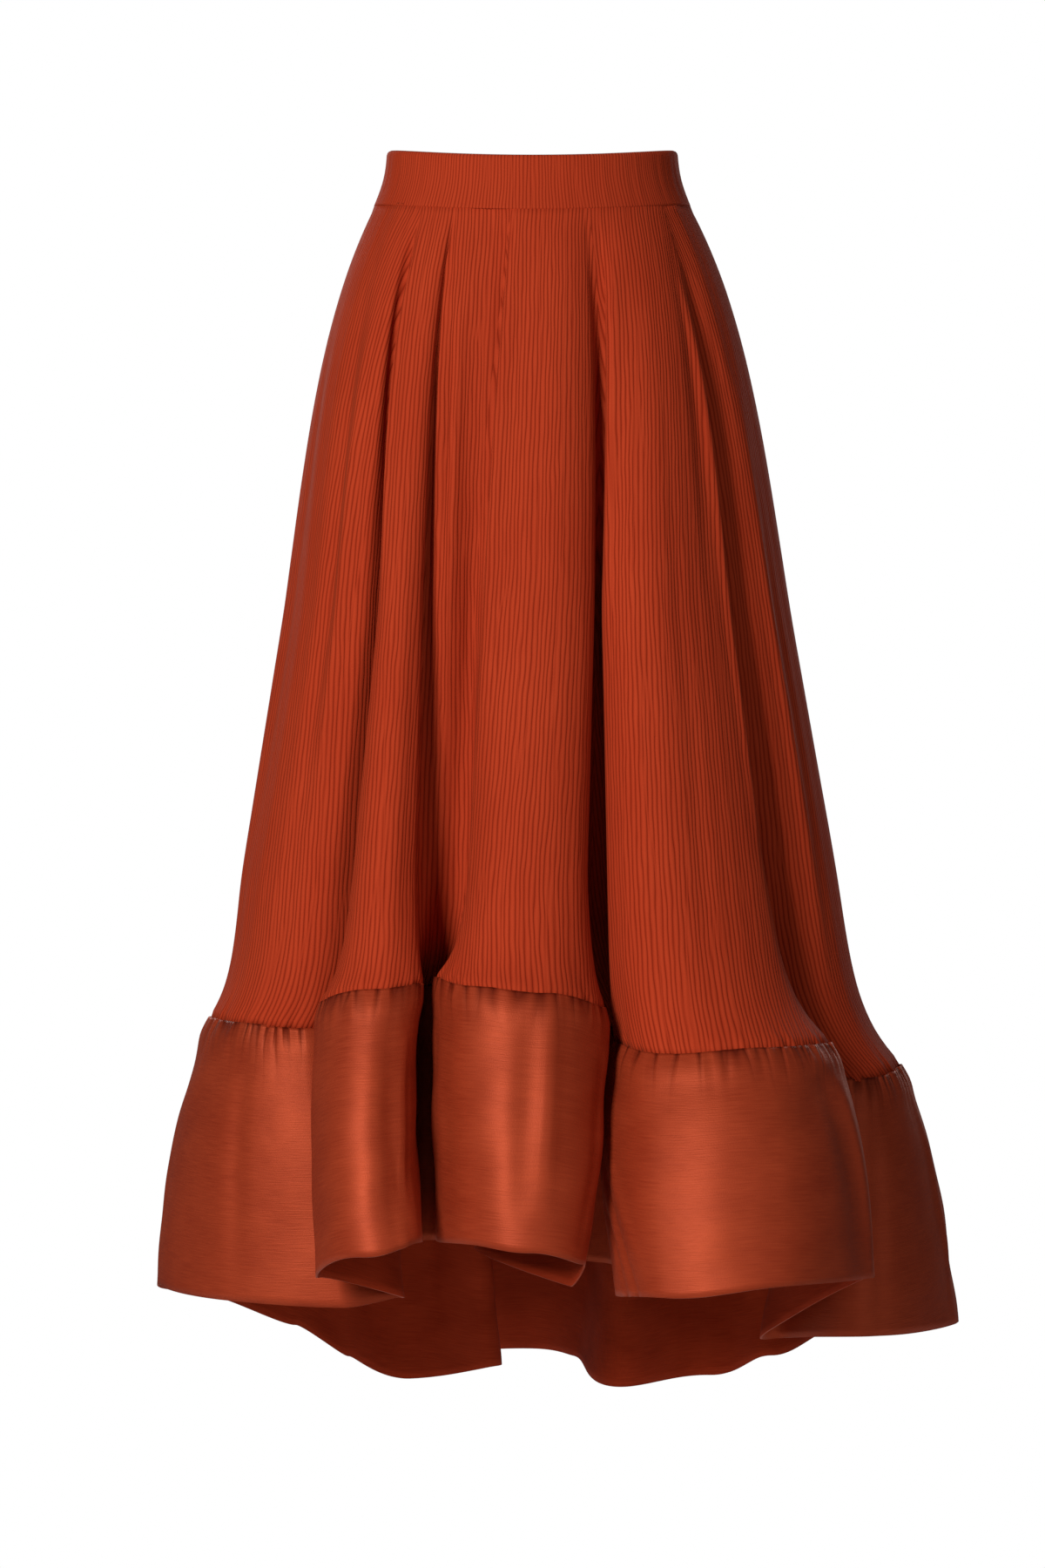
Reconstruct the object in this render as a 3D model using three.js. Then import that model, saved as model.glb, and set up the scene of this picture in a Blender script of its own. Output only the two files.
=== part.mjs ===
// Pleated skirt, worn shape with nobody in it: a flat waistband, a long crinkle-pleated panel
// that falls in deep folds, and a wide satin hem band that dips lower at the back.
//
// Frame, mm: origin at the centre of the waist, half way up the waistband. +Z up, the front of
// the skirt faces -Y, and +X is on the right as the front is seen.
//
// All cloth is a thin wall. A ring of folds is worked out at each height from one table with a
// row for each fold line, and every piece is a stretch of those rings with a thickness.

import * as THREE from 'three';

// ---- Driving sizes ------------------------------------------------------------------------

const waistTop = { halfWidth: 117.5, halfDepth: 92 };
const waistSeam = { halfWidth: 128, halfDepth: 102 };
const waistbandHalfHeight = 22;
const waistbandPinch = 2.5;       // how far the band draws in between its two edges
const frontDip = 16;              // the waist sits this much lower at the centre front

const hipBase = { halfWidth: 203, halfDepth: 133, centreY: 15, z: -352 };
const calfZ = -570;               // where the lobes are narrowest above the hem band

const seamGap = 0.3;
const wall = { waistband: 2.4, panel: 1.8, hemBand: 1.8 };

// One row for each fold line, going round from the left side seam past the front. The columns:
// waist   where it leaves the waist seam, degrees about Z from +X
// opens   how soon the fold opens below the waist: under 1 at once, over 1 only lower down
// hip     its place [x, y] at hip height
// calf    its place [x, y] at calf height
// seam    its place [x, y, z] at the top of the hem band
// hem     its place [x, y, z] at the bottom of the hem band
// puff    how far the stiff band bows out [x, y] half way down
// roll    how tightly the cloth turns there, as a radius
const foldTable = [
  ['left side seam', 172, 0.8, [-196, 38], [-232, 42], [-257, 62, -690], [-297, 78, -918], [-8, 1], 30],
  ['A side', 184, 0.8, [-200, -12], [-235, -15], [-263, 0, -686], [-306, 5, -906], [-8, 0], 28],
  ['A front left', 211, 0.8, [-167, -85], [-202, -80], [-228, -70, -687], [-248, -85, -907], [-6, -5], 28],
  ['A front', 223, 0.8, [-137, -108], [-165, -96], [-185, -90, -690], [-149, -122, -909], [-1, -6], 25],
  ['AB tuck', 227, 1.3, [-114, -95], [-120, -78], [-120, -72, -692], [-102, -112, -902], [0, 0], 8],
  ['B left', 228.6, 1.2, [-121, -114], [-142, -112], [-168, -125, -668], [-166, -165, -880], [-5, -3], 8],
  ['B front', 234.3, 0.8, [-106, -130], [-119, -145], [-127, -174, -655], [-129, -245, -855], [-2, -8], 22],
  ['B right', 239.5, 0.8, [-89, -122], [-95, -132], [-89, -155, -651], [-89, -228, -846], [-8, -1], 6],
  ['BC left groove', 241, 0.7, [-86, -98], [-92, -90], [-93, -84, -655], [-93, -120, -856], [-2, 0], 6],
  ['BC ridge', 244, 0.7, [-69, -108], [-73, -82], [-83, -44, -657], [-85, -60, -862], [0, 0], 10],
  ['BC right groove', 262.8, 0.7, [-46, -99], [-53, -86], [-73, -76, -654], [-75, -105, -858], [0, 0], 8],
  ['C left', 264.2, 0.7, [-38, -122], [-49, -125], [-76, -128, -647], [-73, -172, -851], [-2, -2], 8],
  ['C front left', 271, 0.7, [-15, -136], [-29, -150], [-45, -182, -652], [-45, -232, -847], [-2, -8], 22],
  ['C ridge', 281.5, 0.7, [21, -140], [7, -158], [11, -192, -657], [-2, -252, -851], [1, -8], 20],
  ['C right', 287.4, 0.8, [46, -124], [39, -140], [56, -150, -670], [39, -222, -863], [6, -2], 6],
  ['CD return', 288.4, 1.6, [49, -98], [42, -96], [45, -95, -675], [29, -196, -883], [0, 0], 7],
  ['CD tuck', 290, 1.6, [51, -92], [47, -74], [23, -52, -681], [-46, -98, -864], [0, 0], 8],
  ['CD layer', 292.5, 1.6, [54, -96], [56, -72], [55, -42, -689], [57, -62, -880], [-2, 0], 12],
  ['D left', 295.8, 0.8, [57, -122], [61, -125], [66, -125, -698], [67, -190, -891], [-12, -1], 7],
  ['D front left', 304, 0.8, [82, -140], [89, -152], [101, -190, -704], [101, -262, -884], [-4, -9], 30],
  ['D front right', 316.3, 0.8, [123, -124], [141, -140], [175, -196, -699], [189, -262, -875], [5, -9], 34],
  ['D right', 322.5, 0.9, [156, -88], [185, -98], [235, -125, -699], [267, -150, -880], [9, -1], 9],
  ['DE tuck', 324, 1.1, [155, -76], [176, -55], [208, -25, -735], [192, -8, -949], [6, 0], 8],
  ['E front', 334.4, 0.9, [183, -56], [216, -46], [262, -52, -733], [261, -66, -939], [2, -6], 25],
  ['E side', 357, 0.8, [210, 0], [248, 5], [303, 15, -726], [351, 40, -941], [9, 0], 25],
  ['right side seam', 369, 0.8, [207, 48], [246, 58], [292, 76, -736], [342, 100, -948], [9, 2], 28],
  ['back right lobe', 392, 0.8, [167, 104], [200, 132], [238, 172, -752], [290, 225, -966], [5, 7], 35],
  ['back right groove', 410, 0.7, [126, 106], [152, 124], [182, 158, -765], [206, 165, -986], [0, 0], 10],
  ['back right panel', 421, 0.7, [98, 144], [114, 166], [132, 192, -778], [155, 208, -1009], [1, 8], 25],
  ['back inner fold', 431, 0.7, [66, 128], [73, 142], [78, 160, -782], [72, 165, -1013], [2, 0], 9],
  ['back centre right', 440, 0.7, [40, 156], [42, 184], [50, 228, -788], [38, 300, -1005], [5, 4], 18],
  ['centre back', 450, 0.7, [0, 166], [0, 202], [0, 248, -790], [0, 342, -1004], [0, 9], 25],
  ['back centre left', 460, 0.7, [-40, 158], [-48, 188], [-56, 232, -788], [-62, 305, -1004], [-5, 4], 18],
  ['back outer fold', 470, 0.7, [-54, 128], [-54, 148], [-50, 178, -784], [-30, 215, -1002], [0, 0], 9],
  ['back left panel', 484, 0.7, [-92, 148], [-104, 174], [-118, 208, -776], [-107, 235, -1016], [-2, 8], 30],
  ['back left groove', 494, 0.7, [-122, 110], [-142, 128], [-160, 166, -758], [-158, 188, -990], [-4, 4], 22],
  ['back left lobe', 506, 0.8, [-158, 102], [-182, 120], [-196, 148, -735], [-202, 150, -958], [-6, 6], 30],
];
const foldLines = foldTable.map(([name, waist, opens, hip, calf, seam, hem, puff, roll]) => (
  { name, waist, opens, hip, calf, seam, hem, puff, roll }));

// Heights where a ring of the panel is worked out, as shares of each stage of its drop.
const panelStages = {
  waistToHip: [0, 0.16, 0.37, 0.66, 1],
  hipToCalf: [0.3, 0.65, 1],
  calfToSeam: [0.35, 0.62, 0.83, 1],
};
const hemBandStage = [0, 0.16, 0.38, 0.66, 1];
const waistbandStage = [0, 0.5, 1];
const waistbandColumns = { front: 28, back: 22 };
const foldedBelow = 1 / 1.5;      // share of the waist-to-hip drop where the folds are full

// Columns of wall between two fold lines, by how far apart they are at the hem.
const columnsFor = { wide: 4, middling: 3, narrow: 2 };
const wideStretch = 75;
const narrowStretch = 30;

// How long the curve keeps its heading at a fold line, as shares of the way to the next one.
const turnReach = { unfolded: 0.35, least: 0.05, most: 0.4 };

// ---- Shape laws ---------------------------------------------------------------------------

const mix = (from, to, share) => from + (to - from) * share;
const mixPoint = (from, to, share) => from.map((value, i) => mix(value, to[i], share));
const radians = (degrees) => (degrees * Math.PI) / 180;

// The panel springs out below the band and then falls straighter.
const hipSpread = (drop) => 0.58 * drop + 0.42 * (1 - (1 - drop) ** 4);
// The lobes hang almost straight and then flare over the stiff band.
const flare = (drop) => 0.45 * drop + 0.55 * drop ** 4.5;
// The stiff band bows out most a little above its middle.
const bandBow = (drop) => Math.sin(Math.PI * drop ** 0.85);
const waistDip = (angle) => frontDip * Math.max(0, -Math.sin(angle)) ** 1.4;

function ellipsePoint({ halfWidth, halfDepth, centreY = 0 }, angle) {
  return [halfWidth * Math.cos(angle), centreY + halfDepth * Math.sin(angle)];
}

// Where a fold line is, from the waist seam down to the hip.
function betweenWaistAndHip(fold, drop) {
  const angle = radians(fold.waist);
  const spread = hipSpread(drop);
  const base = {
    halfWidth: mix(waistSeam.halfWidth, hipBase.halfWidth, spread),
    halfDepth: mix(waistSeam.halfDepth, hipBase.halfDepth, spread),
    centreY: mix(0, hipBase.centreY, spread),
  };
  const [x, y] = ellipsePoint(base, angle);
  const [hipX, hipY] = ellipsePoint(hipBase, angle);
  const seamZ = -waistbandHalfHeight - waistDip(angle);
  const opened = drop ** fold.opens;
  return [
    x + (fold.hip[0] - hipX) * opened,
    y + (fold.hip[1] - hipY) * opened,
    mix(seamZ, hipBase.z, drop),
  ];
}

function betweenHipAndCalf(fold, drop) {
  return [...mixPoint(fold.hip, fold.calf, drop), mix(hipBase.z, calfZ, drop)];
}

function betweenCalfAndSeam(fold, drop) {
  const place = mixPoint(fold.calf, fold.seam.slice(0, 2), flare(drop));
  return [...place, mix(calfZ, fold.seam[2], drop)];
}

function alongBand(fold, drop) {
  const [x, y, z] = mixPoint(fold.seam, fold.hem, drop);
  const bow = bandBow(drop);
  return [x + fold.puff[0] * bow, y + fold.puff[1] * bow, z];
}

// ---- Rings --------------------------------------------------------------------------------

const unit = ([x, y]) => {
  const length = Math.hypot(x, y);
  return [x / length, y / length];
};
const minus = (a, b) => [a[0] - b[0], a[1] - b[1]];

// The way the ring heads at a fold line: half way between the two stretches that meet there.
function heading(before, here, after) {
  const arriving = unit(minus(here, before));
  const leaving = unit(minus(after, here));
  return unit([arriving[0] + leaving[0], arriving[1] + leaving[1]]);
}

// How long the curve keeps its heading at a fold: short where the cloth turns tightly. The
// ring is a plain oval at the waist seam, where `folded` is 0.
function reachOfTurn(here, other, direction, roll, folded) {
  const chord = minus(other, here);
  const length = Math.hypot(...chord);
  const aside = Math.abs(chord[0] * direction[1] - chord[1] * direction[0]);
  const rolled = Math.sqrt((2 * aside * roll) / 3) + turnReach.least * length;
  const tight = Math.min(rolled, turnReach.most * length);
  return mix(turnReach.unfolded * length, tight, folded);
}

const columnsAfter = foldLines.map((fold, i) => {
  const next = foldLines[(i + 1) % foldLines.length];
  const width = Math.hypot(...minus(next.hem, fold.hem));
  if (width > wideStretch) return columnsFor.wide;
  return width < narrowStretch ? columnsFor.narrow : columnsFor.middling;
});

// One closed ring of the skirt through all its fold lines, as columns of points with the
// outward direction across the cloth.
function ringOfFolds(place, folded) {
  const points = foldLines.map(place);
  const count = points.length;
  const at = (i) => points[(i + count) % count];
  const headings = points.map((point, i) => heading(at(i - 1), point, at(i + 1)));
  const ring = [];
  points.forEach((start, i) => {
    const end = at(i + 1);
    const endHeading = headings[(i + 1) % count];
    const endRoll = foldLines[(i + 1) % count].roll;
    const leave = reachOfTurn(start, end, headings[i], foldLines[i].roll, folded);
    const arrive = reachOfTurn(end, start, endHeading, endRoll, folded);
    const curve = new THREE.CubicBezierCurve(
      new THREE.Vector2(start[0], start[1]),
      new THREE.Vector2(start[0] + headings[i][0] * leave, start[1] + headings[i][1] * leave),
      new THREE.Vector2(end[0] - endHeading[0] * arrive, end[1] - endHeading[1] * arrive),
      new THREE.Vector2(end[0], end[1]),
    );
    for (let step = 0; step < columnsAfter[i]; step += 1) {
      const share = step / columnsAfter[i];
      const point = curve.getPoint(share);
      const tangent = curve.getTangent(share);
      ring.push({
        x: point.x,
        y: point.y,
        z: mix(start[2], end[2], share),
        along: [tangent.x, tangent.y],
      });
    }
  });
  return ring;
}

function columnOf(foldName) {
  const row = foldLines.findIndex((fold) => fold.name === foldName);
  return columnsAfter.slice(0, row).reduce((sum, columns) => sum + columns, 0);
}

// The stretch of a ring from one seam to the next, with half a seam gap left at both ends.
function stretchOfRing(ring, fromColumn, toColumn) {
  const last = toColumn > fromColumn ? toColumn : toColumn + ring.length;
  const stretch = [];
  for (let column = fromColumn; column <= last; column += 1) {
    stretch.push({ ...ring[column % ring.length] });
  }
  const shift = (point, distance) => {
    point.x += point.along[0] * distance;
    point.y += point.along[1] * distance;
  };
  shift(stretch[0], seamGap / 2);
  shift(stretch[stretch.length - 1], -seamGap / 2);
  return stretch;
}

// ---- Walls --------------------------------------------------------------------------------

// A closed wall through rings of points that run from its top edge to its bottom edge.
function wallThrough(rings, thickness) {
  const columns = rings[0].length;
  const skins = [thickness / 2, -thickness / 2];
  const positions = [];
  for (const offset of skins) {
    for (const ring of rings) {
      for (const { x, y, z, along } of ring) {
        positions.push(x + along[1] * offset, y - along[0] * offset, z);
      }
    }
  }
  const inner = rings.length * columns;
  const vertex = (skin, ring, column) => skin * inner + ring * columns + column;
  const triangles = [];
  const quad = (a, b, c, d) => triangles.push(a, b, c, a, c, d);
  for (let ring = 0; ring + 1 < rings.length; ring += 1) {
    for (let column = 0; column + 1 < columns; column += 1) {
      const corners = (skin) => [
        vertex(skin, ring, column),
        vertex(skin, ring + 1, column),
        vertex(skin, ring + 1, column + 1),
        vertex(skin, ring, column + 1),
      ];
      quad(...corners(0));
      quad(...corners(1).reverse());
    }
  }
  const bottom = rings.length - 1;
  const end = columns - 1;
  for (let column = 0; column < end; column += 1) {
    quad(
      vertex(1, 0, column),
      vertex(0, 0, column),
      vertex(0, 0, column + 1),
      vertex(1, 0, column + 1),
    );
    quad(
      vertex(1, bottom, column),
      vertex(1, bottom, column + 1),
      vertex(0, bottom, column + 1),
      vertex(0, bottom, column),
    );
  }
  for (let ring = 0; ring < bottom; ring += 1) {
    quad(vertex(1, ring, 0), vertex(1, ring + 1, 0), vertex(0, ring + 1, 0), vertex(0, ring, 0));
    quad(
      vertex(0, ring, end),
      vertex(0, ring + 1, end),
      vertex(1, ring + 1, end),
      vertex(1, ring, end),
    );
  }
  const geometry = new THREE.BufferGeometry();
  geometry.setAttribute('position', new THREE.Float32BufferAttribute(positions, 3));
  geometry.setIndex(triangles);
  geometry.computeVertexNormals();
  return geometry;
}

// ---- Pieces -------------------------------------------------------------------------------

const lowered = (ring, distance) => ring.map((point) => ({ ...point, z: point.z - distance }));

const panelRings = [
  ...panelStages.waistToHip.map((drop) => (
    ringOfFolds((fold) => betweenWaistAndHip(fold, drop), Math.min(1, drop / foldedBelow)))),
  ...panelStages.hipToCalf.map((drop) => ringOfFolds((fold) => betweenHipAndCalf(fold, drop), 1)),
  ...panelStages.calfToSeam.map((drop) => ringOfFolds((fold) => betweenCalfAndSeam(fold, drop), 1)),
];
panelRings[0] = lowered(panelRings[0], seamGap / 2);
panelRings.push(lowered(panelRings.pop(), -seamGap / 2));

const hemBandRings = hemBandStage.map((drop) => ringOfFolds((fold) => alongBand(fold, drop), 1));
hemBandRings[0] = lowered(hemBandRings[0], seamGap / 2);

function waistbandRing(share, fromAngle, toAngle, columns) {
  const pinch = waistbandPinch * Math.sin(Math.PI * share);
  const oval = {
    halfWidth: mix(waistTop.halfWidth, waistSeam.halfWidth, share) - pinch,
    halfDepth: mix(waistTop.halfDepth, waistSeam.halfDepth, share) - pinch,
  };
  const ring = [];
  for (let column = 0; column <= columns; column += 1) {
    const angle = radians(mix(fromAngle, toAngle, column / columns));
    const [x, y] = ellipsePoint(oval, angle);
    const along = unit([-oval.halfWidth * Math.sin(angle), oval.halfDepth * Math.cos(angle)]);
    const bottomGap = share === 1 ? seamGap : 0;
    const z = waistbandHalfHeight * (1 - 2 * share) - waistDip(angle) + bottomGap;
    ring.push({ x, y, z, along });
  }
  return stretchOfRing(ring, 0, columns);
}

const cloth = {
  waistband: new THREE.MeshStandardMaterial({ color: 0xa53723, roughness: 0.85, metalness: 0 }),
  panel: new THREE.MeshStandardMaterial({ color: 0xa8321b, roughness: 0.8, metalness: 0 }),
  hemBand: new THREE.MeshStandardMaterial({ color: 0xb0482e, roughness: 0.35, metalness: 0 }),
};

const skirt = new THREE.Group();

function addPiece(name, geometry, material) {
  const mesh = new THREE.Mesh(geometry, material);
  mesh.name = name;
  skirt.add(mesh);
}

const seamAngle = (name) => foldLines.find((fold) => fold.name === name).waist;
const halves = [
  { half: 'front', from: 'left side seam', to: 'right side seam', turn: 0 },
  { half: 'back', from: 'right side seam', to: 'left side seam', turn: 360 },
];

for (const { half, from, to, turn } of halves) {
  const stretch = (ring) => stretchOfRing(ring, columnOf(from), columnOf(to));
  const bandRings = waistbandStage.map((share) => (
    waistbandRing(share, seamAngle(from), seamAngle(to) + turn, waistbandColumns[half])));
  addPiece(`waistband_${half}`, wallThrough(bandRings, wall.waistband), cloth.waistband);
  addPiece(`panel_${half}`, wallThrough(panelRings.map(stretch), wall.panel), cloth.panel);
  addPiece(`hem_band_${half}`, wallThrough(hemBandRings.map(stretch), wall.hemBand), cloth.hemBand);
}

export default skirt;
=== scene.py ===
# %% [markdown]
# # A pleated skirt
# The skirt has three tiers: a flat waistband, a long crinkle-pleated panel that falls in deep
# folds, and a wide stiff satin band at the hem. It keeps the shape that a wearer gives it.
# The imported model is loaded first. It holds the true size and place of every piece, and each
# cloth piece made here stands for one of its plain walls.

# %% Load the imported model
import math

import bpy
import numpy as np
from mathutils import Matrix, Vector


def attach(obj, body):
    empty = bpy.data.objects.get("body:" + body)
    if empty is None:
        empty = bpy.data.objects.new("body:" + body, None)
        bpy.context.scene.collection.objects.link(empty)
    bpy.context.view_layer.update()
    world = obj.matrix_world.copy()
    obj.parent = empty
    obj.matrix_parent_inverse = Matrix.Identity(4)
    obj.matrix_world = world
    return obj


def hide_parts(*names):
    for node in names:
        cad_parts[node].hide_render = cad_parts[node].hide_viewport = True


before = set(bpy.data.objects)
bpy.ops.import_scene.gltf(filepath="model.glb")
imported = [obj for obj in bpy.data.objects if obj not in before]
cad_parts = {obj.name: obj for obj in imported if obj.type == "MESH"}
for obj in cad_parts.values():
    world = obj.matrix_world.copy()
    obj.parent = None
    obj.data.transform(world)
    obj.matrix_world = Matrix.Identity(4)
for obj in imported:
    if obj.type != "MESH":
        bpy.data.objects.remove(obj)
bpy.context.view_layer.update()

MM = 0.001

# %% [markdown]
# ## The folds
# Cloth that is gathered at the waist falls in folds, and each fold can be followed from the
# waist to the hem. A table with one row for each fold line is the shortest true description of
# the whole skirt, so the same table that shaped the plain walls shapes the fine cloth here.
# The columns are: the fold's name, the angle where it leaves the waist, how soon it opens below
# the waist, its place at the hip and at the calf, its place at the top and at the bottom of the
# satin band, how far the stiff band bows out there, and how tightly the cloth rolls. Sizes are
# millimetres.

# %% The fold table
FOLDS = [
    ("left side seam", 172, 0.8, (-196, 38), (-232, 42), (-257, 62, -690), (-297, 78, -918), (-8, 1), 30),
    ("A side", 184, 0.8, (-200, -12), (-235, -15), (-263, 0, -686), (-306, 5, -906), (-8, 0), 28),
    ("A front left", 211, 0.8, (-167, -85), (-202, -80), (-228, -70, -687), (-248, -85, -907), (-6, -5), 28),
    ("A front", 223, 0.8, (-137, -108), (-165, -96), (-185, -90, -690), (-149, -122, -909), (-1, -6), 25),
    ("AB tuck", 227, 1.3, (-114, -95), (-120, -78), (-120, -72, -692), (-102, -112, -902), (0, 0), 8),
    ("B left", 228.6, 1.2, (-121, -114), (-142, -112), (-168, -125, -668), (-166, -165, -880), (-5, -3), 8),
    ("B front", 234.3, 0.8, (-106, -130), (-119, -145), (-127, -174, -655), (-129, -245, -855), (-2, -8), 22),
    ("B right", 239.5, 0.8, (-89, -122), (-95, -132), (-89, -155, -651), (-89, -228, -846), (-8, -1), 6),
    ("BC left groove", 241, 0.7, (-86, -98), (-92, -90), (-93, -84, -655), (-93, -120, -856), (-2, 0), 6),
    ("BC ridge", 244, 0.7, (-69, -108), (-73, -82), (-83, -44, -657), (-85, -60, -862), (0, 0), 10),
    ("BC right groove", 262.8, 0.7, (-46, -99), (-53, -86), (-73, -76, -654), (-75, -105, -858), (0, 0), 8),
    ("C left", 264.2, 0.7, (-38, -122), (-49, -125), (-76, -128, -647), (-73, -172, -851), (-2, -2), 8),
    ("C front left", 271, 0.7, (-15, -136), (-29, -150), (-45, -182, -652), (-45, -232, -847), (-2, -8), 22),
    ("C ridge", 281.5, 0.7, (21, -140), (7, -158), (11, -192, -657), (-2, -252, -851), (1, -8), 20),
    ("C right", 287.4, 0.8, (46, -124), (39, -140), (56, -150, -670), (39, -222, -863), (6, -2), 6),
    ("CD return", 288.4, 1.6, (49, -98), (42, -96), (45, -95, -675), (29, -196, -883), (0, 0), 7),
    ("CD tuck", 290, 1.6, (51, -92), (47, -74), (23, -52, -681), (-46, -98, -864), (0, 0), 8),
    ("CD layer", 292.5, 1.6, (54, -96), (56, -72), (55, -42, -689), (57, -62, -880), (-2, 0), 12),
    ("D left", 295.8, 0.8, (57, -122), (61, -125), (66, -125, -698), (67, -190, -891), (-12, -1), 7),
    ("D front left", 304, 0.8, (82, -140), (89, -152), (101, -190, -704), (101, -262, -884), (-4, -9), 30),
    ("D front right", 316.3, 0.8, (123, -124), (141, -140), (175, -196, -699), (189, -262, -875), (5, -9), 34),
    ("D right", 322.5, 0.9, (156, -88), (185, -98), (235, -125, -699), (267, -150, -880), (9, -1), 9),
    ("DE tuck", 324, 1.1, (155, -76), (176, -55), (208, -25, -735), (192, -8, -949), (6, 0), 8),
    ("E front", 334.4, 0.9, (183, -56), (216, -46), (262, -52, -733), (261, -66, -939), (2, -6), 25),
    ("E side", 357, 0.8, (210, 0), (248, 5), (303, 15, -726), (351, 40, -941), (9, 0), 25),
    ("right side seam", 369, 0.8, (207, 48), (246, 58), (292, 76, -736), (342, 100, -948), (9, 2), 28),
    ("back right lobe", 392, 0.8, (167, 104), (200, 132), (238, 172, -752), (290, 225, -966), (5, 7), 35),
    ("back right groove", 410, 0.7, (126, 106), (152, 124), (182, 158, -765), (206, 165, -986), (0, 0), 10),
    ("back right panel", 421, 0.7, (98, 144), (114, 166), (132, 192, -778), (155, 208, -1009), (1, 8), 25),
    ("back inner fold", 431, 0.7, (66, 128), (73, 142), (78, 160, -782), (72, 165, -1013), (2, 0), 9),
    ("back centre right", 440, 0.7, (40, 156), (42, 184), (50, 228, -788), (38, 300, -1005), (5, 4), 18),
    ("centre back", 450, 0.7, (0, 166), (0, 202), (0, 248, -790), (0, 342, -1004), (0, 9), 25),
    ("back centre left", 460, 0.7, (-40, 158), (-48, 188), (-56, 232, -788), (-62, 305, -1004), (-5, 4), 18),
    ("back outer fold", 470, 0.7, (-54, 128), (-54, 148), (-50, 178, -784), (-30, 215, -1002), (0, 0), 9),
    ("back left panel", 484, 0.7, (-92, 148), (-104, 174), (-118, 208, -776), (-107, 235, -1016), (-2, 8), 30),
    ("back left groove", 494, 0.7, (-122, 110), (-142, 128), (-160, 166, -758), (-158, 188, -990), (-4, 4), 22),
    ("back left lobe", 506, 0.8, (-158, 102), (-182, 120), (-196, 148, -735), (-202, 150, -958), (-6, 6), 30),
]
NAMES = [row[0] for row in FOLDS]
WAIST_ANGLE = np.radians([row[1] for row in FOLDS])
OPENS = np.array([row[2] for row in FOLDS])[:, None]
HIP = np.array([row[3] for row in FOLDS], float)
CALF = np.array([row[4] for row in FOLDS], float)
SEAM = np.array([row[5] for row in FOLDS], float)
HEM = np.array([row[6] for row in FOLDS], float)
PUFF = np.array([row[7] for row in FOLDS], float)
ROLL = np.array([row[8] for row in FOLDS], float)
print(len(FOLDS), "fold lines")

# %% Sizes shared by the tiers
WAIST_TOP = (117.5, 92.0)
WAIST_SEAM = (128.0, 102.0)
WAISTBAND_HALF_HEIGHT = 22.0
WAISTBAND_PINCH = 2.5
FRONT_DIP = 16.0
HIP_BASE = (203.0, 133.0)
HIP_CENTRE_Y = 15.0
HIP_Z = -352.0
CALF_Z = -570.0
HIP_SHARE = 0.49
CALF_SHARE = 0.81


def mix(start, end, share):
    return start + (end - start) * share


def waist_dip(angle):
    return FRONT_DIP * np.maximum(0, -np.sin(angle)) ** 1.4


def spring_out(fall):
    """The panel springs out below the waistband and then falls straighter."""
    return 0.58 * fall + 0.42 * (1 - (1 - fall) ** 4)


def flare(fall):
    """The lobes hang almost straight and then flare over the stiff band."""
    return 0.45 * fall + 0.55 * fall ** 4.5


def band_bow(drop):
    """The stiff band bows out most a little above its middle."""
    return math.sin(math.pi * drop ** 0.85)


def oval(half_sizes, angle, centre_y=0.0):
    width, depth = half_sizes
    return np.stack([width * np.cos(angle), centre_y + depth * np.sin(angle)], axis=-1)


# %% [markdown]
# ### From the table to smooth fold lines
# Between the rows of heights a fold line follows simple laws: the panel springs out below the
# waistband and then falls straighter, and above the stiff band it flares like a vase. The kinks
# where one law hands over to the next are smoothed, as gravity would.

# %% Fold lines down the panel
def panel_fold_lines(drops):
    """Fold points for each share of the panel's drop: 0 at the waist seam, 1 at the band seam."""
    lines = []
    for drop in drops:
        if drop <= HIP_SHARE:
            fall = drop / HIP_SHARE
            spread = spring_out(fall)
            half = [mix(WAIST_SEAM[i], HIP_BASE[i], spread) for i in (0, 1)]
            base = oval(half, WAIST_ANGLE, HIP_CENTRE_Y * spread)
            place = base + (HIP - oval(HIP_BASE, WAIST_ANGLE, HIP_CENTRE_Y)) * fall ** OPENS
            top = -WAISTBAND_HALF_HEIGHT - waist_dip(WAIST_ANGLE)
            height = mix(top, HIP_Z, fall)
        elif drop <= CALF_SHARE:
            fall = (drop - HIP_SHARE) / (CALF_SHARE - HIP_SHARE)
            place = mix(HIP, CALF, fall)
            height = np.full(len(FOLDS), mix(HIP_Z, CALF_Z, fall))
        else:
            fall = (drop - CALF_SHARE) / (1 - CALF_SHARE)
            place = mix(CALF, SEAM[:, :2], flare(fall))
            height = mix(CALF_Z, SEAM[:, 2], fall)
        lines.append(np.column_stack([place, height]))
    return np.array(lines)


def smooth_down(lines, width=4):
    """Averages each fold line with its neighbours above and below, ends kept."""
    for _ in range(width):
        lines[1:-1] = (lines[:-2] + 2 * lines[1:-1] + lines[2:]) / 4
    return lines


def band_fold_lines(drops):
    lines = []
    for drop in drops:
        place = mix(SEAM, HEM, drop)
        lines.append(np.column_stack([place[:, :2] + PUFF * band_bow(drop), place[:, 2]]))
    return np.array(lines)


# %% [markdown]
# ### From fold lines to rings of cloth
# At each height one closed curve runs through all the fold lines. It turns in a small round
# roll at each fold and runs nearly straight in between, which is how stiff cloth hangs.

# %% Rings through the fold lines
COLUMN_WIDTH = 3.5
FEWEST_COLUMNS = 5
next_fold = np.roll(np.arange(len(FOLDS)), -1)
hem_widths = np.linalg.norm(HEM[next_fold, :2] - HEM[:, :2], axis=1)
COLUMNS = np.maximum(FEWEST_COLUMNS, np.round(hem_widths / COLUMN_WIDTH).astype(int))
START = np.concatenate([[0], np.cumsum(COLUMNS)])
print(START[-1], "columns of cloth round the skirt")


def unit(vectors):
    return vectors / np.linalg.norm(vectors, axis=-1, keepdims=True)


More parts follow.
